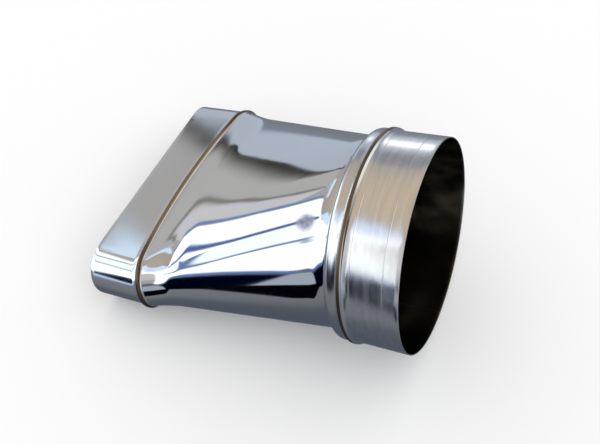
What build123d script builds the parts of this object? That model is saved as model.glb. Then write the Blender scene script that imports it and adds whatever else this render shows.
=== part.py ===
from build123d import *
from math import asin, atan2, cos, hypot, sin
import os

# Flat-to-round duct adapter in stainless sheet, all sizes in millimetres.
# It lies on its side, as it comes to rest on a table. Distances along the duct
# are measured from the flat rim towards the round mouth.

# Overall
duct_length = 230.0             # flat rim to round mouth
wall = 0.6                      # sheet thickness

# Round end
round_diameter = 150.0          # outside of the round collar
round_collar_length = 38.8      # mouth to the middle of the round seam
shoulder_length = 11.6          # middle of the round seam to the face of the shoulder
shoulder_rise = 0.6             # how much further out the shoulder is pressed than the collar
neck_land = 2.2                 # straight neck between the body and the shoulder
neck_inset = 5.7                # how much smaller the neck is than the round collar, all round
shoulder_round = 4.2            # convex bend at the top of the shoulder
neck_round = 1.2                # hollow bend at its foot

# Flat end
flat_width = 192.4              # outside of the flat collar, across
flat_height = 47.2              # outside of the flat collar, the thin way
flat_collar_length = 44.0       # flat rim to the middle of the seam, on the rounded sides
seam_bow = 9.0                  # how far the seam bows towards the rim, mid-face

# Body, between the two seams
rise_distance = 38.0            # flat rim to where the broad faces start to rise
waist_distance = 66.0           # flat rim to the start of the straight taper
waist_width = 177.8             # across the body at that place
waist_height = 59.2             # the thin way at that place

# Seams: a narrow weld that stands proud round each end of the body
seam_width = 5.0                # width on the sheet
seam_height = 1.6               # how far it stands out of the collar
seam_flank = 1.2                # sloped edge beside the crest
seam_root = 0.3                 # how far it reaches into the sheet

# Where the forms of the skin join
neck_step = 0.15                # how far the neck stands out of the end of the body
neck_overlap = 0.2
end_overrun = 1.0

# Places worked out from the sizes above
round_radius = round_diameter / 2
shoulder_radius = round_radius + shoulder_rise
neck_radius = round_radius - neck_inset
flat_half_width = flat_width / 2
flat_half_height = flat_height / 2
flat_straight = flat_half_width - flat_half_height
waist_half_width = waist_width / 2
waist_half_height = waist_height / 2
round_seam_distance = duct_length - round_collar_length
shoulder_distance = round_seam_distance - shoulder_length
neck_distance = shoulder_distance - neck_land
body_end_radius = neck_radius - neck_step
taper_length = neck_distance - waist_distance
rise_slope = (body_end_radius - waist_half_height) / taper_length
narrow_slope = (waist_half_width - body_end_radius) / taper_length

# At rest the lower edge of the flat rim and the bend of the shoulder touch the table
bend_distance = shoulder_distance + shoulder_round
bend_drop = shoulder_radius - shoulder_round - flat_half_height
rest_angle = atan2(bend_drop, bend_distance) + asin(shoulder_round / hypot(bend_distance, bend_drop))
duct_direction = Vector(cos(rest_angle), 0, sin(rest_angle))
# The length of the box runs from the rim's upper edge to the mouth's lower edge
box_length = duct_length * cos(rest_angle) + (flat_half_height + round_radius) * sin(rest_angle)
rim_x = flat_half_height * sin(rest_angle) - box_length / 2
rim_centre = Vector(rim_x, 0, flat_half_height * cos(rest_angle))
duct_axis = Axis(rim_centre, duct_direction)
# Across, thin way, distance along the duct
rim_plane = Plane(origin=rim_centre, x_dir=(0, 1, 0), z_dir=duct_direction)
# Distance along the duct, across
broad_plane = Plane(origin=rim_centre, x_dir=duct_direction, z_dir=rim_plane.y_dir)
# Distance along the duct, radius
side_plane = Plane(origin=rim_centre, x_dir=duct_direction, z_dir=(0, -1, 0))


def body_half_height(distance):
    """Half the body the thin way: level, then a hollow bend, then a straight taper."""
    if distance <= rise_distance:
        return flat_half_height
    if distance >= waist_distance:
        return waist_half_height + rise_slope * (distance - waist_distance)
    bend_length = waist_distance - rise_distance
    part = (distance - rise_distance) / bend_length
    # Cubic with no slope where it starts and the taper's slope where it ends
    gain = (waist_half_height - flat_half_height) * (3 - 2 * part) * part**2
    return flat_half_height + gain - rise_slope * bend_length * (1 - part) * part**2


def body_half_width(distance):
    """Half the body across: full at the flat seam, drawn in behind it, then tapered."""
    if distance <= flat_collar_length:
        return flat_half_width
    taper = waist_half_width - narrow_slope * (distance - waist_distance)
    if distance >= waist_distance:
        return taper
    draw_in_length = waist_distance - flat_collar_length
    still_proud = flat_half_width - waist_half_width - narrow_slope * draw_in_length
    return taper + still_proud * ((waist_distance - distance) / draw_in_length) ** 2


def body_section(distance, inset):
    """Flat oval across the duct, its outline set in from the outside of the sheet."""
    half_width = body_half_width(distance) - inset
    half_height = body_half_height(distance) - inset
    with BuildSketch(rim_plane.offset(distance)) as section:
        SlotOverall(2 * half_width, 2 * min(half_height, half_width - 0.02))
    return section.sketch


def stations(first, last, count):
    """Evenly spaced distances from first to last."""
    return [first + (last - first) * step / (count - 1) for step in range(count)]


def duct_form(inset, overrun):
    """What a skin of the duct encloses: outside with no inset, inside with the wall's."""
    with BuildPart() as form:
        # Flat collar
        with BuildSketch(rim_plane.offset(-overrun)):
            SlotOverall(flat_width - 2 * inset, flat_height - 2 * inset)
        extrude(amount=rise_distance + overrun)
        # The broad faces start to rise while the rounded sides stay full
        loft(sections=[body_section(d, inset) for d in stations(rise_distance, flat_collar_length, 3)])
        # The rounded sides are drawn in behind the seam
        loft(sections=[body_section(d, inset) for d in stations(flat_collar_length, waist_distance, 5)])
        # Straight taper: flat triangles above and below, half cones at the sides
        loft(sections=[body_section(d, inset) for d in (waist_distance, neck_distance)], ruled=True)
        # Neck, shoulder and round collar
        foot = (shoulder_distance + inset, neck_radius - inset)
        top = (shoulder_distance + inset, shoulder_radius - inset)
        with BuildSketch(side_plane):
            with BuildLine():
                Polyline(
                    (neck_distance - neck_overlap, 0),
                    (neck_distance - neck_overlap, neck_radius - inset),
                    foot,
                    top,
                    (round_seam_distance - inset, shoulder_radius - inset),
                    (round_seam_distance - inset, round_radius - inset),
                    (duct_length + overrun, round_radius - inset),
                    (duct_length + overrun, 0),
                    close=True,
                )
            make_face()
            fillet(vertices().sort_by_distance(foot)[0], radius=neck_round + inset)
            fillet(vertices().sort_by_distance(top)[0], radius=shoulder_round - inset)
        revolve(axis=duct_axis)
    return form.part


def flat_seam_distance(across):
    """Distance from the flat rim to the seam's middle: nearer the rim at mid-face."""
    return flat_collar_length - seam_bow * (1 - (across / flat_half_width) ** 2)

def on_crest(edge):
    """Whether an edge of the flat seam runs along the top of it."""
    middle = rim_plane.to_local_coords(edge.position_at(0.5))
    beyond_straight = max(abs(middle.X) - flat_straight, 0)
    above_flat = hypot(beyond_straight, middle.Y) > flat_half_height + seam_height / 2
    return above_flat and edge.geom_type != GeomType.LINE

# The sheet: what its outside encloses, and the hollow to take out of it
outside = duct_form(inset=0.0, overrun=0.0)
inside = duct_form(inset=wall, overrun=end_overrun)

# Round seam: an upright ring with sloped edges
with BuildPart() as round_seam:
    with BuildSketch(side_plane):
        with Locations((round_seam_distance, round_radius)):
            Rectangle(seam_width, seam_height, align=(Align.CENTER, Align.MIN))
            Rectangle(seam_width, seam_root, align=(Align.CENTER, Align.MAX))
        chamfer(vertices().group_by(Axis.Y)[-1], length=seam_flank)
    revolve(axis=duct_axis)

# Flat seam: the same section, cut from a flat oval by a band that bows towards the rim
seam_reach = flat_half_width + 2 * seam_height
seam_end_distance = flat_seam_distance(seam_reach)
seam_pull_distance = 2 * flat_seam_distance(0) - seam_end_distance
with BuildPart() as flat_seam:
    with BuildSketch(rim_plane):
        SlotOverall(flat_width + 2 * seam_height, flat_height + 2 * seam_height)
    extrude(amount=waist_distance)
    with BuildSketch(broad_plane):
        with BuildLine():
            for edge_offset in (-seam_width / 2, seam_width / 2):
                Bezier((seam_end_distance + edge_offset, -seam_reach),
                       (seam_pull_distance + edge_offset, 0),
                       (seam_end_distance + edge_offset, seam_reach))
            for end in (-seam_reach, seam_reach):
                Line((seam_end_distance - seam_width / 2, end), (seam_end_distance + seam_width / 2, end))
        make_face()
    extrude(amount=flat_height, both=True, mode=Mode.INTERSECT)
    with BuildSketch(rim_plane):
        SlotOverall(flat_width - 2 * seam_root, flat_height - 2 * seam_root)
    extrude(amount=waist_distance, mode=Mode.SUBTRACT)
    chamfer(edges().filter_by(on_crest), length=seam_flank)

with BuildPart() as adapter:
    add(outside)
    add(round_seam.part)
    add(flat_seam.part)
    add(inside, mode=Mode.SUBTRACT)

adapter.part.label = "adapter"
os.makedirs("parts", exist_ok=True)
export_step(adapter.part, "parts/adapter.step")
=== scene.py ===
import math

import bmesh
import bpy
import numpy as np
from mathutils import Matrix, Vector


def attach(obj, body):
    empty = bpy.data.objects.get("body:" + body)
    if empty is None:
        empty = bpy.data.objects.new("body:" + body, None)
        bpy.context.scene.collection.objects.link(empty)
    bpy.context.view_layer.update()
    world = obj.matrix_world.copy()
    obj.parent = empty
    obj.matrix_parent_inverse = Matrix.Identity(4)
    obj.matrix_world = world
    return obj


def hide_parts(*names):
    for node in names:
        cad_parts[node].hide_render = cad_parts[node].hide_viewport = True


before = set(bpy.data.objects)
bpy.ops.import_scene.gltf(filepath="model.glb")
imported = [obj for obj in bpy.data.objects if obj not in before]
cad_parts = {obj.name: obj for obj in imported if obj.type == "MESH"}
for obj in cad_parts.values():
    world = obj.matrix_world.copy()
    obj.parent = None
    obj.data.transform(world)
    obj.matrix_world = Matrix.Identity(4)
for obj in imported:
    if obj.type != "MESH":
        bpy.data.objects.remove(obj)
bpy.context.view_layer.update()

# Flat-to-round duct adapter in polished sheet, seen as the photo shows it. Sizes are in
# millimetres and the same as the part's. Distances run along the duct from the flat rim.
MM = 0.001
DUCT_LENGTH = 230.0
WALL = 0.6

# Round end
ROUND_RADIUS = 75.0             # outside of the round collar
ROUND_SEAM = 191.2              # distance to the middle of the round seam
SHOULDER_RADIUS = 75.6
SHOULDER = 179.6                # distance to the face of the shoulder
SHOULDER_ROUND = 4.2            # convex bend at the top of the shoulder
NECK_ROUND = 1.2                # hollow bend at its foot
NECK_RADIUS = 69.3
NECK = 177.4                    # distance to the end of the body

# Flat end
FLAT_HALF_WIDTH = 96.2
FLAT_HALF_HEIGHT = 23.6
FLAT_SEAM = 44.0                # distance to the middle of the flat seam, on the rounded sides
SEAM_BOW = 9.0                  # how far that seam bows towards the rim, mid-face

# Body
RISE = 38.0                     # distance to where the broad faces start to rise
WAIST = 66.0                    # distance to the start of the straight taper
WAIST_HALF_WIDTH = 88.9
WAIST_HALF_HEIGHT = 29.6
RISE_SLOPE = (NECK_RADIUS - WAIST_HALF_HEIGHT) / (NECK - WAIST)
NARROW_SLOPE = (WAIST_HALF_WIDTH - NECK_RADIUS) / (NECK - WAIST)

# Seams
SEAM_WIDTH = 5.0
SEAM_FOOT = SEAM_WIDTH / 2
SEAM_HEIGHT = 1.6
SEAM_CREST = 2.6                # width of the crest
CREST_SHARE = 0.7               # share of the crest before the flank starts
CREST_CROWN = 0.12              # how far the crest falls off to its edges

# Softness of the real sheet, which the part's solid leaves out
NECK_BEND = 7.0                 # length over which the body bends into the neck
NECK_FADE = SHOULDER_RADIUS - NECK_RADIUS - 1   # rise over which the neck's oval turns into a circle
VALLEY = 65.0                   # distance to the end of the drop behind the flat seam, on the rounded sides
VALLEY_BEND = 0.12              # its roundness, as a share of its distance from the seam
COLLAR_SOFTNESS = 0.004         # how softly the flats are crowned into the rounds: 0 is a true flat
BODY_SOFTNESS = 0.02
LEAN_MOST = 3.3                 # how far the body's corners stay in from a plain flat oval
LEAN_SHARE = 0.055              # the same as a share of the flats, where they are short
LEAN_POWER = 3                  # the higher, the nearer to the flats the leanness stays
LEAN_START = 45.0               # distances between which the corners get lean
LEAN_FULL = 73.0
EDGE_ROUND = WALL / 2           # the edge of the sheet is half round

# Mesh: cells on each flat and each rounded side, and points along each stretch of the duct
FLAT_CELLS = 30
FLAT_SHARE = 0.97               # share of the half flat that the flat cells cover
ROUND_CELLS = 92
EDGE_CELLS = 6
OUTSIDE_ROWS = {"flat collar": 14, "seam": 25, "bend": 34, "taper": 46, "neck": 8, "shoulder": 14}
INSIDE_ROWS = {"flat collar": 8, "seam": 5, "bend": 16, "taper": 20, "neck": 4, "shoulder": 7}
ROUND_COLLAR_ROWS = 14

# How it lies: the flat rim's lower edge and the bend of the shoulder touch the floor
bend_distance = SHOULDER + SHOULDER_ROUND
bend_drop = SHOULDER_RADIUS - SHOULDER_ROUND - FLAT_HALF_HEIGHT
tilt = math.atan2(bend_drop, bend_distance)
tilt += math.asin(SHOULDER_ROUND / math.hypot(bend_distance, bend_drop))
box_length = DUCT_LENGTH * math.cos(tilt) + (FLAT_HALF_HEIGHT + ROUND_RADIUS) * math.sin(tilt)
RIM_CENTRE = np.array([FLAT_HALF_HEIGHT * math.sin(tilt) - box_length / 2, 0,
                       FLAT_HALF_HEIGHT * math.cos(tilt)])
ALONG = np.array([math.cos(tilt), 0, math.sin(tilt)])
ACROSS = np.array([0.0, 1.0, 0.0])
THIN = np.array([-math.sin(tilt), 0, math.cos(tilt)])


def to_row(points):
    """Duct places (distance, across, thin way) in mm to the row frame in metres."""
    axes = np.stack([ALONG, ACROSS, THIN])
    return (np.asarray(points) @ axes + RIM_CENTRE) * MM


def smooth(part):
    """0 at and below 0, 1 at and above 1, smooth between."""
    part = np.clip(part, 0, 1)
    return (3 - 2 * part) * part**2


def into_neck(d):
    """How much of the taper is lost to the bend into the neck, as a distance."""
    return np.maximum(d - NECK + NECK_BEND, 0) ** 2 / (2 * NECK_BEND)


def half_height(d):
    """Half height of the body: up in a soft bend to the waist, then straight."""
    part = np.clip((d - RISE) / (WAIST - RISE), 0, 1)
    gain = (WAIST_HALF_HEIGHT - FLAT_HALF_HEIGHT) * smooth(part)
    bend = FLAT_HALF_HEIGHT + gain - RISE_SLOPE * (WAIST - RISE) * (1 - part) * part**2
    return np.where(d < WAIST, bend, WAIST_HALF_HEIGHT + RISE_SLOPE * (d - WAIST - into_neck(d)))


def half_width(d):
    """Half width of the body: a straight drop from the seam to the valley, then the taper."""
    taper = WAIST_HALF_WIDTH - NARROW_SLOPE * (d - WAIST - into_neck(d))
    proud = FLAT_HALF_WIDTH - WAIST_HALF_WIDTH - NARROW_SLOPE * (WAIST - FLAT_SEAM)
    part = (VALLEY - d) / (VALLEY - FLAT_SEAM)
    drop = (part + np.sqrt(part**2 + VALLEY_BEND**2)) / (1 + math.sqrt(1 + VALLEY_BEND**2))
    return np.where(d < FLAT_SEAM, FLAT_HALF_WIDTH, taper + proud * drop)


def seam_place(across):
    """Distance of the flat seam's middle at a place across the duct: it bows towards the rim."""
    return FLAT_SEAM - SEAM_BOW * (1 - (across / FLAT_HALF_WIDTH) ** 2)


def ring_turns():
    """Turn of the normal (radians from across, towards the thin way) at each point round a section."""
    edge = BODY_SOFTNESS * FLAT_SHARE / math.sqrt(1 - FLAT_SHARE**2)
    start = math.acos(edge)
    turns = []
    for middle in (math.pi / 2, -math.pi / 2):
        for i in range(FLAT_CELLS):
            share = FLAT_SHARE * (2 * i / FLAT_CELLS - 1)
            turns.append(middle - math.asin(BODY_SOFTNESS * share / math.sqrt(1 - share**2)))
        for i in range(ROUND_CELLS):
            turns.append(middle - math.pi / 2 + start - 2 * start * i / ROUND_CELLS)
    return np.array(turns)


TURN = ring_turns()
COS_TURN = np.cos(TURN)
SIN_TURN = np.sin(TURN)


def softness(d):
    """How softly the flats are crowned, from the flat collar to the body."""
    part = (d - FLAT_SEAM) / (WAIST - FLAT_SEAM)
    return COLLAR_SOFTNESS + (BODY_SOFTNESS - COLLAR_SOFTNESS) * smooth(part)


def leanness(d, w, h):
    """How far the body's corners stay in from a plain flat oval."""
    return np.minimum(LEAN_MOST, LEAN_SHARE * (w - h)) * smooth((d - LEAN_START) / (LEAN_FULL - LEAN_START))


def oval_points(d, w, h, out):
    """Flat-oval section of half sizes w and h at distances d, moved out along the normal.

    It is worked out from its reach, the distance from the middle to the line that touches it
    at each turn of the normal, so that the flats run softly into the rounds.
    """
    soft = softness(d)
    h = np.minimum(h, w)
    lean = leanness(d, w, h) * (LEAN_POWER + 1) ** (LEAN_POWER + 1) / LEAN_POWER**LEAN_POWER
    slant = np.minimum(np.sqrt(COS_TURN**2 + soft**2), 1)
    flat = (w - h) / (np.sqrt(1 + soft**2) - soft)
    bend = h - flat * soft + lean * soft * (1 - soft) ** LEAN_POWER + out
    reach = flat * slant + bend - lean * slant * (1 - slant) ** LEAN_POWER
    change = flat - lean * (1 - slant) ** (LEAN_POWER - 1) * (1 - (LEAN_POWER + 1) * slant)
    slide = -change * COS_TURN * SIN_TURN / slant
    y = reach * COS_TURN - slide * SIN_TURN
    z = reach * SIN_TURN + slide * COS_TURN
    return np.stack([np.broadcast_to(d, y.shape), y, z], axis=-1)


def seam_profile(offset, inside):
    """Height of a seam over the sheet at an offset from its middle. Inside, the sheet is plain."""
    x = abs(offset)
    if inside or x >= SEAM_FOOT:
        return 0.0
    crest = SEAM_CREST / 2
    flank = crest * CREST_SHARE
    if x <= flank:
        return SEAM_HEIGHT - CREST_CROWN * (x / crest) ** 2
    part = (x - flank) / (SEAM_FOOT - flank)
    return (SEAM_HEIGHT - CREST_CROWN * CREST_SHARE**2) * (0.5 + 0.5 * math.cos(math.pi * part))


def flat_end_rows(inset, inside, counts):
    """The flat collar and its seam, and the bend up to the waist."""
    rim = oval_points(np.zeros_like(TURN), FLAT_HALF_WIDTH, FLAT_HALF_HEIGHT, 0)
    seam = seam_place(rim[:, 1])
    rows = []
    for v in np.linspace(0, 1, counts["flat collar"])[:-1]:
        d = EDGE_ROUND * (1 - v) + (seam - SEAM_FOOT) * v
        rows.append(oval_points(d, FLAT_HALF_WIDTH, FLAT_HALF_HEIGHT, -inset))
    for offset in np.linspace(-SEAM_FOOT, SEAM_FOOT, counts["seam"]):
        d = seam + offset
        rows.append(oval_points(d, half_width(d), half_height(d), seam_profile(offset, inside) - inset))
    for v in np.linspace(0, 1, counts["bend"])[1:]:
        d = (seam + SEAM_FOOT) * (1 - v) + WAIST * v
        rows.append(oval_points(d, half_width(d), half_height(d), -inset))
    return rows


def taper_rows(inset, counts):
    """The straight taper and its soft end."""
    rows = []
    for v in np.linspace(0, 1, counts["taper"])[1:]:
        d = np.full_like(TURN, WAIST * (1 - v) + NECK * v)
        rows.append(oval_points(d, half_width(d), half_height(d), -inset))
    return rows


def round_end_profile(inset, inside, counts):
    """Distance and radius of each row from the neck to the mouth."""
    hollow = NECK_ROUND + inset
    convex = SHOULDER_ROUND - inset
    face = SHOULDER + inset
    low, high, collar = NECK_RADIUS - inset, SHOULDER_RADIUS - inset, ROUND_RADIUS - inset
    points = []
    for a in np.linspace(0, math.pi / 2, counts["neck"] + 1):
        points.append((face - hollow + hollow * math.sin(a), low + hollow - hollow * math.cos(a)))
    for a in np.linspace(0, math.pi / 2, counts["shoulder"] + 1):
        points.append((face + convex - convex * math.cos(a), high - convex + convex * math.sin(a)))
    points.append(((face + convex + ROUND_SEAM - SEAM_FOOT) / 2, high))
    for offset in np.linspace(-SEAM_FOOT, SEAM_FOOT, counts["seam"]):
        base = high + (collar - high) * (offset + SEAM_FOOT) / SEAM_WIDTH
        points.append((ROUND_SEAM + offset, base + seam_profile(offset, inside)))
    for v in np.linspace(0, 1, ROUND_COLLAR_ROWS)[1:]:
        points.append(((ROUND_SEAM + SEAM_FOOT) * (1 - v) + (DUCT_LENGTH - EDGE_ROUND) * v, collar))
    return points


def round_end_rows(inset, inside, counts):
    """The neck, still a little oval where the body ends, the shoulder, the seam and the collar."""
    rows = []
    for d, r in round_end_profile(inset, inside, counts):
        oval = 1 - smooth((r + inset - NECK_RADIUS) / NECK_FADE)
        w = r + oval * NARROW_SLOPE * NECK_BEND / 2
        h = r - oval * RISE_SLOPE * NECK_BEND / 2
        rows.append(oval_points(np.full_like(TURN, d), w, h, 0))
    return rows


def skin(inset, inside):
    """Rows of points of one face of the sheet, from the flat rim to the mouth."""
    counts = INSIDE_ROWS if inside else OUTSIDE_ROWS
    return (flat_end_rows(inset, inside, counts) + taper_rows(inset, counts)
            + round_end_rows(inset, inside, counts))


def sheet_edge(end, way, w, h):
    """Rows round the half-round edge of the sheet, from the outside to the inside."""
    rows = []
    for i in range(1, EDGE_CELLS):
        a = math.pi * i / EDGE_CELLS
        d = np.full_like(TURN, end - way * EDGE_ROUND * (1 - math.sin(a)))
        rows.append(oval_points(d, w, h, EDGE_ROUND * (math.cos(a) - 1)))
    return rows


def build_adapter():
    """One closed mesh: outside, round the mouth, back along the inside, and round the flat rim."""
    outer = skin(0.0, False)
    inner = skin(WALL, True)
    mouth_edge = sheet_edge(DUCT_LENGTH, 1, ROUND_RADIUS, ROUND_RADIUS)
    flat_edge = sheet_edge(0, -1, FLAT_HALF_WIDTH, FLAT_HALF_HEIGHT)
    rows = outer + mouth_edge + inner[::-1] + flat_edge[::-1]
    first_inside = len(outer) + len(mouth_edge)
    last_inside = first_inside + len(inner) - 1
    count = len(TURN)
    faces = []
    finish = []
    for r in range(len(rows)):
        a = r * count
        b = ((r + 1) % len(rows)) * count
        for i in range(count):
            j = (i + 1) % count
            faces.append((a + i, a + j, b + j, b + i))
            finish.append(1 if first_inside <= r < last_inside else 0)
    mesh = bpy.data.meshes.new("adapter_skin")
    mesh.from_pydata(to_row(np.concatenate(rows)).tolist(), [], faces)
    mesh.polygons.foreach_set("material_index", finish)
    mesh.update()
    obj = bpy.data.objects.new("adapter_skin", mesh)
    bpy.context.scene.collection.objects.link(obj)
    bm = bmesh.new()
    bm.from_mesh(mesh)
    bmesh.ops.recalc_face_normals(bm, faces=bm.faces)
    bm.to_mesh(mesh)
    bm.free()
    mesh.shade_smooth()
    return obj


class Nodes:
    """A node material with short calls for its maths."""

    def __init__(self, name):
        self.material = bpy.data.materials.new(name)
        self.material.use_nodes = True
        self.nodes = self.material.node_tree.nodes
        self.links = self.material.node_tree.links

    def plug(self, socket, value):
        if hasattr(value, "is_linked"):
            self.links.new(value, socket)
        else:
            socket.default_value = value

    def math(self, operation, *values):
        node = self.nodes.new("ShaderNodeMath")
        node.operation = operation
        for socket, value in zip(node.inputs, values):
            self.plug(socket, value)
        return node.outputs[0]

    def plus(self, first, *others):
        for other in others:
            first = self.math("ADD", first, other)
        return first

    def times(self, first, *others):
        for other in others:
            first = self.math("MULTIPLY", first, other)
        return first

    def minus(self, a, b):
        return self.math("SUBTRACT", a, b)

    def over(self, a, b):
        return self.math("DIVIDE", a, b)

    def line(self, value, gain, start):
        """The value times the gain, plus the start."""
        return self.math("MULTIPLY_ADD", value, gain, start)

    def mix(self, factor, a, b):
        node = self.nodes.new("ShaderNodeMix")
        node.data_type = "RGBA"
        self.plug(node.inputs["Factor"], factor)
        self.plug(node.inputs[6], a)
        self.plug(node.inputs[7], b)
        return node.outputs[2]


class Surface(Nodes):
    """A finish whose marks are placed along and across the duct, in mm."""

    def __init__(self, name):
        super().__init__(name)
        self.shader = self.nodes["Principled BSDF"]
        coordinates = self.nodes.new("ShaderNodeTexCoord").outputs["Object"]
        rim = self.nodes.new("ShaderNodeVectorMath")
        rim.operation = "SUBTRACT"
        self.links.new(coordinates, rim.inputs[0])
        rim.inputs[1].default_value = RIM_CENTRE * MM
        place = rim.outputs[0]
        self.along = self.dot(place, ALONG)
        self.across = self.dot(place, ACROSS)
        self.thin = self.dot(place, THIN)

    def dot(self, place, axis):
        """How far a place in metres lies along an axis, in mm."""
        node = self.nodes.new("ShaderNodeVectorMath")
        node.operation = "DOT_PRODUCT"
        self.links.new(place, node.inputs[0])
        node.inputs[1].default_value = axis / MM
        return node.outputs["Value"]

    def step(self, value, start, end):
        """0 before start, 1 after end, smooth between. Start may be above end."""
        node = self.nodes.new("ShaderNodeMapRange")
        node.interpolation_type = "SMOOTHSTEP"
        self.plug(node.inputs["Value"], value)
        node.inputs["From Min"].default_value = min(start, end)
        node.inputs["From Max"].default_value = max(start, end)
        if start > end:
            node.inputs["To Min"].default_value = 1
            node.inputs["To Max"].default_value = 0
        return node.outputs["Result"]

    def band(self, value, middle, half, soft):
        """1 within half of the middle, falling to 0 over soft."""
        gap = self.math("ABSOLUTE", self.minus(value, middle))
        return self.step(gap, half + soft, half)

    def vector(self, x, y, z):
        node = self.nodes.new("ShaderNodeCombineXYZ")
        for socket, value in zip(node.inputs, (x, y, z)):
            self.plug(socket, value)
        return node.outputs[0]

    def noise(self, along, across, thin, detail):
        """Noise with so many mm to one cell each way."""
        cells = self.vector(self.over(self.along, along), self.over(self.across, across),
                            self.over(self.thin, thin))
        return self.noise_at(cells, detail)

    def noise_at(self, cells, detail, rough=0.5):
        node = self.nodes.new("ShaderNodeTexNoise")
        self.links.new(cells, node.inputs["Vector"])
        node.inputs["Scale"].default_value = 1.0
        node.inputs["Detail"].default_value = detail
        node.inputs["Roughness"].default_value = rough
        return node.outputs[0]

    def bump(self, height, depth, normal=None):
        """Relief of so many mm, over an earlier one."""
        node = self.nodes.new("ShaderNodeBump")
        self.plug(node.inputs["Height"], height)
        node.inputs["Distance"].default_value = depth * MM
        node.inputs["Strength"].default_value = 1.0
        if normal is not None:
            self.links.new(normal, node.inputs["Normal"])
        return node.outputs[0]

    def streaks(self, width, length, layer, detail, rough):
        """Noise drawn out round the duct, in streaks so many mm wide and long. Layers differ."""
        ring = self.times(self.math("ARCTAN2", self.thin, self.across), ROUND_RADIUS)
        cells = self.vector(self.over(self.along, width), self.over(ring, length), layer)
        return self.noise_at(cells, detail, rough)

    def scratches(self, turn, length, amount):
        """Sparse thin lines at an angle to the duct, 1 on a line."""
        spacing = 0.5
        c, s = math.cos(math.radians(turn)), math.sin(math.radians(turn))
        run = self.plus(self.times(self.along, c), self.times(self.across, s))
        side = self.minus(self.times(self.across, c), self.times(self.along, s))
        cells = self.vector(self.over(run, length), self.over(side, spacing), self.over(self.thin, length))
        return self.step(self.noise_at(cells, 2.0), 1 - amount, 1.04 - amount)

    def spot(self, along, across, long, wide, soft):
        """1 inside an oval mark on the upper side, falling to 0."""
        u = self.over(self.minus(self.along, along), long)
        v = self.over(self.minus(self.across, across), wide)
        reach = self.math("SQRT", self.plus(self.times(u, u), self.times(v, v)))
        upper = self.step(self.thin, 0, 4)
        return self.times(self.step(reach, 1, 1 - soft), upper)


# Share of the light that the polished steel returns
METAL = 0.70

# Heat tint on the seams, with a painted reflection and painted shade on it, and the marks on the sheet
BROWN = (0.30, 0.235, 0.15, 1)
UMBER = (0.13, 0.095, 0.06, 1)
# Painted reflection of a warm ceiling, on the top of the round seam's crest
COPPER_PAINTED_REFLECTION = (0.18, 0.125, 0.08, 1)
# Painted shade on the crests' lower side
OLIVE_PAINTED_SHADE = (0.09, 0.08, 0.045, 1)
SMUDGE = (0.11, 0.09, 0.19, 1)
PIT = (0.12, 0.12, 0.11, 1)
WELD = (0.26, 0.22, 0.17, 1)


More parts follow.
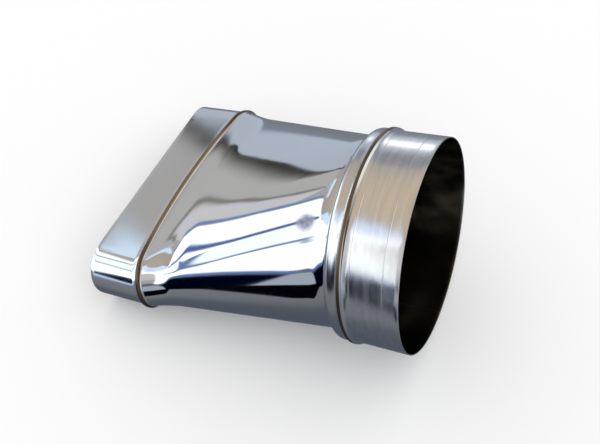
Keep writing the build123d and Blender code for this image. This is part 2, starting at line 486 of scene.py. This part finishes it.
class Outside(Surface):
    """Mirror polish on the body, satin on the round collar, and brown on the seams' crests."""

    def __init__(self):
        super().__init__("steel")
        self.find_zones()
        self.find_marks()
        self.shader.inputs["Metallic"].default_value = 1.0
        self.plug(self.shader.inputs["Base Color"], self.colour())
        self.plug(self.shader.inputs["Roughness"], self.roughness())
        self.plug(self.shader.inputs["Normal"], self.relief())

    def find_zones(self):
        """Masks of the collars, the pressed shoulder and the seams' crests."""
        bow = self.over(self.across, FLAT_HALF_WIDTH)
        from_bow = self.times(self.minus(1, self.times(bow, bow)), SEAM_BOW)
        flat_offset = self.plus(self.minus(self.along, FLAT_SEAM), from_bow)
        round_offset = self.minus(self.along, ROUND_SEAM)
        self.flat_collar = self.step(flat_offset, start=-1.5, end=-2.5)
        self.round_collar = self.step(round_offset, start=1.2, end=2.6)
        self.pressed = self.band(self.along, SHOULDER + 5.5, half=4.0, soft=2.5)
        crest_half = SEAM_CREST / 2
        self.round_crest = self.band(round_offset, 0, half=crest_half - 0.4, soft=0.35)
        flat_crest = self.band(flat_offset, 0.1, half=crest_half + 0.35, soft=0.3)
        self.crest = self.math("MAXIMUM", flat_crest, self.round_crest)

    def find_marks(self):
        """Streaks that run round the collar, tool marks, scratches and the smudge on the half cone."""
        self.fine = self.streaks(width=0.5, length=60, layer=0, detail=4.0, rough=0.7)
        self.broad = self.streaks(width=3.2, length=45, layer=7, detail=3.0, rough=0.6)
        self.cloud = self.noise(along=40, across=40, thin=40, detail=4.0)
        tool_places = (ROUND_SEAM + 6.6, DUCT_LENGTH - 10.5)
        tool_marks = [self.band(self.along, d, half=0.12, soft=0.25) for d in tool_places]
        self.tool = self.math("MAXIMUM", *tool_marks)
        self.lines = self.math("MAXIMUM", self.scratches(turn=24, length=26, amount=0.29),
                               self.scratches(turn=-38, length=20, amount=0.27))
        smudge = self.spot(along=162, across=-41, long=9.0, wide=7.0, soft=0.7)
        flecks = self.noise(along=3.5, across=3.5, thin=3.5, detail=4.0)
        self.blotch = self.times(smudge, self.line(flecks, 1.1, 0.25))

    def colour(self):
        tone = self.line(self.cloud, 0.05, METAL - 0.025)
        streaky = self.line(self.broad, 0.26, METAL - 0.09)
        value = self.plus(self.times(tone, self.minus(1, self.round_collar)),
                          self.times(streaky, self.round_collar))
        colour = self.mix(self.crest, self.vector(value, value, value), self.tint())
        colour = self.mix(self.times(self.blotch, 0.9), colour, SMUDGE)
        pit = self.spot(along=3, across=65, long=1.6, wide=0.9, soft=0.6)
        return self.mix(self.times(pit, 0.7), colour, PIT)

    def tint(self):
        """Brown heat-tinted crests: darker at the corners, redder at the top of the round seam from a
        painted reflection, and olive below from painted shade.
        """
        corner = self.step(self.math("ABSOLUTE", self.across), start=46, end=74)
        high = self.step(self.thin, start=20, end=68)
        low = self.step(self.thin, start=-5, end=-60)
        tint = self.mix(corner, BROWN, UMBER)
        # Painted reflection: the round crest is coloured redder towards the top
        tint = self.mix(self.times(high, self.round_crest), tint, COPPER_PAINTED_REFLECTION)
        # Painted shade: the crests are coloured olive towards the bottom
        return self.mix(self.times(low, 0.9), tint, OLIVE_PAINTED_SHADE)

    def roughness(self):
        body = self.line(self.cloud, 0.05, 0.025)
        on_flat_collar = self.times(self.flat_collar, self.line(self.cloud, 0.05, 0.01))
        on_round_collar = self.times(self.round_collar, self.line(self.broad, 0.16, 0.06))
        return self.plus(body, on_flat_collar, on_round_collar, self.times(self.pressed, 0.12),
                         self.times(self.crest, 0.25), self.times(self.lines, 0.08),
                         self.times(self.blotch, 0.14))

    def relief(self):
        """Ripple of the sheet, grain and dull patches of the round collar, cuts, and the welds' grain."""
        ripple = self.noise(along=30, across=24, thin=24, detail=1.0)
        grain = self.times(self.minus(self.fine, 0.5), self.round_collar)
        patches = self.times(self.noise(along=14, across=22, thin=22, detail=2.0), self.round_collar)
        cuts = self.times(self.plus(self.tool, self.times(self.lines, 0.02)), -1)
        weld_grain = self.times(self.noise(along=0.7, across=1.1, thin=1.1, detail=2.0), self.crest)
        normal = self.bump(ripple, depth=0.03)
        normal = self.bump(grain, depth=0.004, normal=normal)
        normal = self.bump(patches, depth=0.12, normal=normal)
        normal = self.bump(cuts, depth=0.05, normal=normal)
        return self.bump(weld_grain, depth=0.05, normal=normal)


class Inside(Surface):
    """Inside steel with painted shade and painted reflection: dark, lighter in a band across the middle,
    mottled and warm, with the thin lengthwise weld at the bottom of the round end.
    """

    def __init__(self):
        super().__init__("steel_inside")
        # Painted shade and painted reflection: the base colour is dark towards the top and bottom, lighter
        # in a band across the middle, mottled, and tinted warm.
        middle = self.band(self.thin, 0, half=18, soft=40)
        painted_reflection_mottle = self.step(self.noise(along=26, across=34, thin=15, detail=2.0), 0.36, 0.68)
        shade = self.times(painted_reflection_mottle, self.line(middle, 0.50, 0.05))
        shade = self.plus(shade, self.line(middle, 0.10, 0.08))
        warm = self.vector(shade, self.times(shade, 0.97), self.times(shade, 0.80))
        below = self.step(self.thin, start=-30, end=-60)
        weld = self.times(self.band(self.across, -3.9, half=0.25, soft=0.5), below)
        cloud = self.noise(along=30, across=30, thin=30, detail=4.0)
        self.shader.inputs["Metallic"].default_value = 1.0
        self.plug(self.shader.inputs["Base Color"], self.mix(self.times(weld, 0.8), warm, WELD))
        self.plug(self.shader.inputs["Roughness"], self.line(cloud, 0.12, 0.16))
        self.plug(self.shader.inputs["Normal"], self.bump(weld, depth=0.25))


def build_floor():
    """Plain matt floor. For the camera it is white where nothing shades it, and the metal doesn't see it."""
    half = 6
    mesh = bpy.data.meshes.new("floor")
    corners = [(-half, -half, 0), (half, -half, 0), (half, half, 0), (-half, half, 0)]
    mesh.from_pydata(corners, [], [(0, 1, 2, 3)])
    obj = bpy.data.objects.new("floor", mesh)
    bpy.context.scene.collection.objects.link(obj)
    matt = Nodes("floor")
    shader = matt.nodes["Principled BSDF"]
    seen = matt.nodes.new("ShaderNodeLightPath").outputs["Is Camera Ray"]
    matt.links.new(matt.mix(seen, (0.9, 0.9, 0.9, 1), (1, 1, 1, 1)), shader.inputs["Base Color"])
    shader.inputs["Roughness"].default_value = 1.0
    shader.inputs["Specular IOR Level"].default_value = 0.0
    mesh.materials.append(matt.material)
    obj.visible_glossy = False
    return obj


def light_world():
    """Plain white light from all round."""
    world = bpy.data.worlds.new("world")
    bpy.context.scene.world = world
    world.use_nodes = True
    background = world.node_tree.nodes["Background"]
    background.inputs["Color"].default_value = (1, 1, 1, 1)
    background.inputs["Strength"].default_value = 1.0


def lit(red, green, blue, gain=1.0):
    """Light of a card that the metal shows as this display colour."""
    def linear(value):
        value /= 255
        return value / 12.92 if value <= 0.04045 else ((value + 0.055) / 1.055) ** 2.4
    return tuple(gain * linear(v) / METAL for v in (red, green, blue)) + (1.0,)


def bright(strength, red, green, blue):
    """Light of a pane that the metal shows as white."""
    return (strength * red, strength * green, strength * blue, 1)


def direction(azimuth, elevation):
    a, e = math.radians(azimuth), math.radians(elevation)
    return Vector((math.cos(e) * math.cos(a), math.cos(e) * math.sin(a), math.sin(e)))


class Dome(Nodes):
    """A dome of light cards and dark cards, seen only in the metal, which stands for the room.

    Each card is a flat card's outline, seen from the middle. Angles are in degrees, the radius in metres.
    """

    def __init__(self, radius=8.0):
        super().__init__("studio_dome")
        bpy.ops.mesh.primitive_uv_sphere_add(segments=64, ring_count=32, radius=radius)
        self.obj = bpy.context.object
        self.obj.name = "studio_dome"
        self.nodes.clear()
        coordinates = self.nodes.new("ShaderNodeTexCoord")
        normalise = self.nodes.new("ShaderNodeVectorMath")
        normalise.operation = "NORMALIZE"
        self.links.new(coordinates.outputs["Object"], normalise.inputs[0])
        self.way = normalise.outputs[0]
        self.material.cycles.emission_sampling = "NONE"
        self.obj.data.materials.append(self.material)

    def base(self, stops):
        """Background by elevation: (elevation, light) from the floor up."""
        split = self.nodes.new("ShaderNodeSeparateXYZ")
        self.links.new(self.way, split.inputs[0])
        ramp = self.nodes.new("ShaderNodeValToRGB")
        self.links.new(self.line(self.math("ARCSINE", split.outputs["Z"]), 1 / math.pi, 0.5), ramp.inputs[0])
        elements = ramp.color_ramp.elements
        while len(elements) < len(stops):
            elements.new(0.5)
        for element, (elevation, light) in zip(elements, stops):
            element.position = (elevation + 90) / 180
            element.color = light
        self.colour = ramp.outputs[0]

    def plane(self, normal, beyond, soft):
        """1 on the normal's side of a plane through the middle, and so many degrees beyond it."""
        dot = self.nodes.new("ShaderNodeVectorMath")
        dot.operation = "DOT_PRODUCT"
        self.links.new(self.way, dot.inputs[0])
        dot.inputs[1].default_value = normal
        edge = self.nodes.new("ShaderNodeMapRange")
        edge.interpolation_type = "SMOOTHSTEP"
        self.links.new(dot.outputs["Value"], edge.inputs["Value"])
        edge.inputs["From Min"].default_value = -math.radians(beyond + soft)
        edge.inputs["From Max"].default_value = -math.radians(beyond - soft)
        return edge.outputs["Result"]

    def lay(self, mask, light):
        self.colour = self.mix(mask, self.colour, light)

    def card(self, light, corners, soft):
        """A card by its corners (azimuth, elevation): along its foot with azimuth growing, then back
        over its top. The outline is convex. Soft is one number, or one for the edge after each corner."""
        softs = soft if isinstance(soft, (list, tuple)) else [soft] * len(corners)
        mask = None
        for i, corner in enumerate(corners):
            after = corners[(i + 1) % len(corners)]
            normal = direction(*corner).cross(direction(*after)).normalized()
            side = self.plane(normal, 0, softs[i])
            mask = side if mask is None else self.times(mask, side)
        self.lay(mask, light)

    def bar(self, light, start, end, width, soft):
        """A straight bar from one direction to another, so many degrees wide."""
        first, last = direction(*start), direction(*end)
        normal = first.cross(last).normalized()
        sides = self.times(self.plane(normal, width / 2, soft), self.plane(-normal, width / 2, soft))
        ends = self.times(self.plane(normal.cross(first), 0, soft), self.plane(-normal.cross(last), 0, soft))
        self.lay(self.times(sides, ends), light)

    def finish(self):
        emission = self.nodes.new("ShaderNodeEmission")
        output = self.nodes.new("ShaderNodeOutputMaterial")
        self.links.new(self.colour, emission.inputs["Color"])
        self.links.new(emission.outputs[0], output.inputs["Surface"])
        for flag in ("visible_camera", "visible_diffuse", "visible_shadow", "visible_transmission"):
            setattr(self.obj, flag, False)
        return self.obj


def lay_room(dome):
    """Grey floor, pale walls and a warm ceiling."""
    dome.base([
        (-90, lit(68, 76, 88)),
        (-55, lit(80, 85, 94)),
        (-38, lit(106, 110, 116)),
        (-20, lit(112, 116, 122)),
        (-9, lit(120, 128, 142)),
        (-5, lit(158, 164, 172)),
        (20, lit(160, 162, 165)),
        (38, lit(160, 154, 148)),
        (49, lit(172, 163, 152)),
        (54, lit(182, 167, 148)),
        (60, lit(186, 170, 150)),
        (90, lit(150, 140, 125)),
    ])


def lay_far_side(dome):
    """Soft boxes and dark panels round the rest of the room, mostly for the views from other sides."""
    dome.card(lit(222, 225, 230), [(20, 8), (62, 8), (58, 48), (24, 48)], 5)
    dome.card(lit(58, 60, 64), [(72, -12), (92, -12), (90, 62), (74, 62)], 4)
    dome.card(lit(214, 217, 222), [(298, 4), (336, 4), (332, 50), (302, 50)], 5)
    dome.card(lit(64, 66, 70), [(346, -12), (366, -12), (364, 60), (348, 60)], 4)


def lay_back_wall(dome):
    """The wall at the back, the dark beside it, and a pale blue-grey wall with a lamp."""
    dome.card(lit(169, 169, 168), [(140, -8), (160, -8), (160, 24), (140, 24)], (2, 1, 4, 2))
    dome.card(lit(54, 54, 50), [(138, -7), (145.0, -7), (145.3, 5), (138, 5)], (1, 1.9, 0.3, 1))
    dome.card(lit(60, 60, 56), [(136, 4.5), (145.3, 4.5), (145.2, 11), (144.0, 17), (141.9, 27), (136, 31)],
              (0.3, 1.8, 1.4, 1.0, 0.8, 1))
    dome.card(lit(168, 177, 192), [(98, -10), (143.8, -7), (142.5, 1.4), (98, 2.1)], (2.0, 0.15, 0.1, 4))
    dome.card(lit(168, 176, 189), [(98, 1.2), (142.5, 1.2), (143.3, 4.5), (143.8, 7.5), (143.4, 11.5),
                                   (142.2, 16.5), (139.7, 26), (98, 32)],
              (0.1, 0.3, 0.4, 0.5, 0.5, 1.0, 3, 4))
    dome.card(lit(128, 130, 138), [(100, 21), (127, 21), (133, 38), (100, 38)], 2.5)
    dome.card(lit(250, 250, 250, 1.3), [(104, 1), (113.5, 3), (114, 13), (104, 13)], 2)


def lay_strip(dome):
    """The light strip between the wall and the window, its dark and pale edges, and pale blue above."""
    dome.card(lit(193, 193, 195), [(150.4, -6), (160, -6), (170, 22), (159.0, 22), (152.4, 5.5)],
              (0.5, 0.7, 0.3, 0.2, 0.7))
    dome.bar(lit(104, 102, 96), (149.9, -6), (150.9, 3.6), 0.8, 0.6)
    dome.bar(lit(104, 102, 96), (150.9, 3.4), (155.4, 13.6), 0.8, 0.6)
    dome.bar(lit(112, 108, 102), (155.4, 13.4), (160.5, 22.5), 1.0, 0.6)
    dome.bar(lit(188, 194, 212), (152.9, 3.5), (155.4, 11), 0.9, 0.8)
    dome.card(lit(170, 174, 188), [(158, 24), (166, 28), (166, 34), (152, 29)], 1.2)
    dome.card(lit(204, 226, 246), [(152.5, 28.0), (164, 31.3), (176, 35.3), (176, 39), (152, 35)],
              (1.6, 1.2, 0.8, 1.5, 1.5))


def lay_window(dome):
    """The window's frame, its panes and its bars, and the grey wall and shade beside it."""
    pane = bright(1.7, 0.93, 0.98, 1.0)
    bar_light = lit(66, 92, 148)
    low_bar_light = lit(80, 106, 162)
    end_light = lit(88, 112, 168)
    dome.card(lit(108, 128, 170), [(155.0, 0), (245, -4), (262, 7), (262, 30), (206, 39.6), (180.5, 39.2),
                                   (170.3, 28.5), (162.0, 17), (158.0, 7.5)], 0.5)
    dome.card(pane, [(156.9, 0), (245, -5), (260, 6), (260, 30), (206, 39.0), (182.2, 38.6),
                     (172.0, 28.0), (163.6, 16.6), (159.6, 7.5)], 0.5)
    dome.card(pane, [(206, 30), (262, 10), (262, 41), (226, 47), (213, 43)], 1.2)
    dome.card(lit(196, 206, 236), [(212, 43), (232, 38), (234, 44), (226, 48), (214, 47)], 2.5)
    dome.card(bright(1.5, 0.90, 1.0, 1.0), [(189, 22), (219, 22), (224, 30), (205, 35), (194, 31)], 1.5)
    dome.bar(bar_light, (170, 11.6), (187.6, 26.4), 1.9, 0.5)
    dome.bar(bar_light, (187.2, 26.2), (204.5, 37.0), 2.1, 0.5)
    dome.bar(low_bar_light, (187, 22.1), (207, 23.6), 1.7, 0.5)
    dome.bar(low_bar_light, (206, 23.4), (218, 24.2), 1.7, 0.6)
    dome.bar(end_light, (216, 24.1), (229, 29.6), 2.4, 1.0)
    dome.bar(lit(100, 124, 176), (227, 30.2), (234, 27.0), 0.9, 0.5)
    dome.card(lit(188, 185, 188), [(258.5, 2), (276, 0), (276, 45), (238, 45), (236, 33)],
              (0.5, 1, 1, 2, 0.5))
    dome.card(lit(152, 156, 166), [(258.5, 2), (276, 0), (276, 19), (248.5, 17.5)], (0.5, 1, 3, 0.5))
    dome.card(lit(92, 97, 106), [(257, -1.5), (274, -1.5), (272, 8), (255.5, 8)], (0.5, 1, 2, 0.5))
    dome.card(lit(206, 228, 250), [(202, 38.6), (222, 40), (222, 45.5), (203, 45.8)], 1.0)


def lay_below_window(dome):
    """The pale sill, the dark below it with its blue edge, and the grey wedge in the dark."""
    dome.card(lit(182, 200, 232), [(226, -12), (240, -12), (240, 0), (226, 0)], (2, 1, 1, 1))
    dome.card(lit(92, 116, 164), [(228, -4), (256, -4), (258.2, 1.2), (244.6, 9.0), (231.4, 16.0),
                                  (227.7, 6)],
              (0.6, 0.5, 0.6, 0.9, 0.6, 0.4))
    dome.card(lit(0, 3, 20), [(248, -19), (258.6, -20.8), (259.4, -13.5), (257.4, -0.4), (244.2, 6.6),
                              (232, 13.5), (228.4, 5), (228.4, -3.0)],
              (0.9, 0.5, 0.5, 1.2, 1.6, 0.6, 0.5, 0.5))
    dome.card(lit(2, 3, 8), [(255, -18.2), (268.6, -35.0), (275, -30), (266, -14.8), (256, -14.8)],
              (0.5, 0.5, 1, 0.3, 0.5))
    dome.card(lit(152, 162, 174), [(259.6, -15), (268, -15), (262, 1), (257.8, -0.6)], (0.5, 1, 0.5, 0.35))


def build_dome():
    dome = Dome()
    lay_room(dome)
    lay_far_side(dome)
    lay_back_wall(dome)
    lay_strip(dome)
    lay_window(dome)
    lay_below_window(dome)
    return dome.finish()


def place_camera():
    """Where the photo was taken from, in metres and degrees."""
    data = bpy.data.cameras.new("camera")
    data.lens = 42.01
    data.sensor_width = 36.0
    data.sensor_fit = "HORIZONTAL"
    data.clip_start = 0.01
    camera = bpy.data.objects.new("camera", data)
    bpy.context.scene.collection.objects.link(camera)
    camera.location = (0.10778, -0.28266, 0.47984)
    camera.rotation_euler = [math.radians(angle) for angle in (35.292, -2.338, 23.328)]
    bpy.context.scene.camera = camera


adapter = build_adapter()
adapter.data.materials.append(Outside().material)
adapter.data.materials.append(Inside().material)
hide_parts("adapter")
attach(adapter, "root")

floor = build_floor()
light_world()
studio = build_dome()

place_camera()
bpy.context.scene.view_settings.view_transform = "Standard"

bpy.context.view_layer.update()
